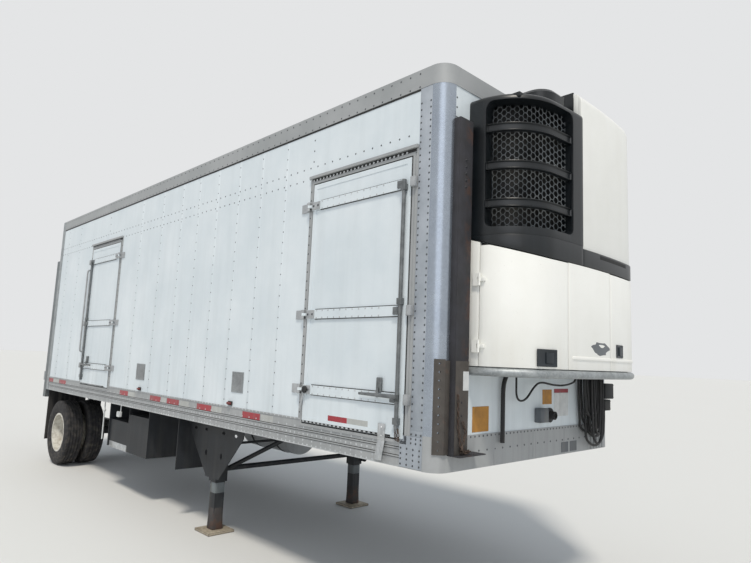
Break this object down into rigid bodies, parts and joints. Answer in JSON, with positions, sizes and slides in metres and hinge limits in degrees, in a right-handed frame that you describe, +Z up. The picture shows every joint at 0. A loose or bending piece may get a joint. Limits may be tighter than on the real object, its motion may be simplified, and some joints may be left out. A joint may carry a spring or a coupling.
{
  "type": "refrigerated semi trailer",
  "caption": "Single axle refrigerated semi trailer with a front cooling unit, two curb side swing doors, twin wheels, landing legs and a folding rail gate at the rear.",
  "frame": {"origin": "on the ground under the middle of the whole trailer", "axes": "+X forward to the cooling unit, +Y to the street side, +Z up"},
  "size_m": [9.53, 2.633, 4.0698],
  "materials": {
    "white_skin": "worn white painted aluminium",
    "grey_rail": "dull extruded aluminium",
    "polished_post": "polished stainless steel",
    "door_hardware": "cast and drawn steel",
    "black_frame": "black chassis paint",
    "floor_metal": "ribbed aluminium floor",
    "tyre_rubber": "worn tyre rubber",
    "wheel_white": "white painted steel wheel",
    "hub_iron": "cast iron hub and drum",
    "galvanised": "galvanised steel",
    "black_plastic": "black moulded plastic",
    "white_plastic": "white moulded plastic",
    "rubber_flap": "black rubber",
    "bare_steel": "bare greased steel"
  },
  "bodies": {
    "trailer": {"roof_panel": "white_skin", "top_rail": "grey_rail", "front_wall": "white_skin", "corner_posts": "polished_post", "nose_rail": "grey_rail", "floor": "floor_metal", "curb_wall": "white_skin", "street_wall": "white_skin", "curb_bottom_rail": "grey_rail", "street_bottom_rail": "grey_rail", "rear_frame": "galvanised", "rollup_door": "white_skin", "door_frames": "grey_rail", "hinge_butts": "door_hardware", "cross_members": "galvanised", "coupler": "black_frame", "kingpin": "bare_steel", "landing_legs": "black_frame", "landing_gussets": "black_frame", "landing_braces": "black_frame", "suspension_frame": "black_frame", "leaf_springs": "black_frame", "axle_beam": "black_frame", "gate_columns": "galvanised", "rear_guard": "galvanised", "mud_flaps": "rubber_flap", "battery_box": "black_frame", "pump_box": "black_frame", "equipment_frame": "black_frame", "tank_brackets": "black_frame", "fuel_tank": "grey_rail", "unit_side_panels": "white_plastic", "unit_grille": "black_plastic", "unit_upper_panel": "white_plastic", "unit_band": "black_plastic", "unit_centre_panel": "white_plastic", "unit_hinges": "door_hardware", "unit_base": "galvanised", "unit_engine": "hub_iron"},
    "front_door": {"front_door_leaf": "white_skin", "front_door_straps": "door_hardware", "front_door_lock_rod": "door_hardware"},
    "rear_door": {"rear_door_leaf": "white_skin", "rear_door_straps": "door_hardware", "rear_door_lock_rod": "door_hardware"},
    "curb_wheel": {"curb_tyres": "tyre_rubber", "curb_wheels": "wheel_white", "curb_hub": "hub_iron"},
    "street_wheel": {"street_tyres": "tyre_rubber", "street_wheels": "wheel_white", "street_hub": "hub_iron"},
    "gate_carriage": {"gate_carriage": "galvanised"},
    "gate_platform": {"gate_platform": "floor_metal"},
    "unit_curb_door": {"unit_curb_door": "white_plastic"},
    "unit_street_door": {"unit_street_door": "white_plastic"}
  },
  "joints": [
    {"name": "front_door_hinge", "type": "hinge", "parent": "trailer", "child": "front_door", "pos_m": [2.735, -1.3255, 2.245], "axis": [0, 0, -1], "range_deg": [0, 175]},
    {"name": "rear_door_hinge", "type": "hinge", "parent": "trailer", "child": "rear_door", "pos_m": [-1.635, -1.3255, 2.245], "axis": [0, 0, 1], "range_deg": [0, 175]},
    {"name": "curb_wheel_turn", "type": "hinge", "parent": "trailer", "child": "curb_wheel", "pos_m": [-3.755, -0.969, 0.505], "axis": [0, 1, 0], "continuous": true},
    {"name": "street_wheel_turn", "type": "hinge", "parent": "trailer", "child": "street_wheel", "pos_m": [-3.755, 0.969, 0.505], "axis": [0, 1, 0], "continuous": true},
    {"name": "gate_lift", "type": "slide", "parent": "trailer", "child": "gate_carriage", "axis": [0, 0, -1], "range_m": [0, 1.28]},
    {"name": "gate_fold", "type": "hinge", "parent": "gate_carriage", "child": "gate_platform", "pos_m": [-4.735, 0, 1.325], "axis": [0, -1, 0], "range_deg": [0, 90]},
    {"name": "unit_curb_door_hinge", "type": "hinge", "parent": "trailer", "child": "unit_curb_door", "pos_m": [4.351, -1.012, 2.245], "axis": [0, 0, -1], "range_deg": [0, 110]},
    {"name": "unit_street_door_hinge", "type": "hinge", "parent": "trailer", "child": "unit_street_door", "pos_m": [4.351, 1.012, 2.245], "axis": [0, 0, 1], "range_deg": [0, 110]}
  ]
}
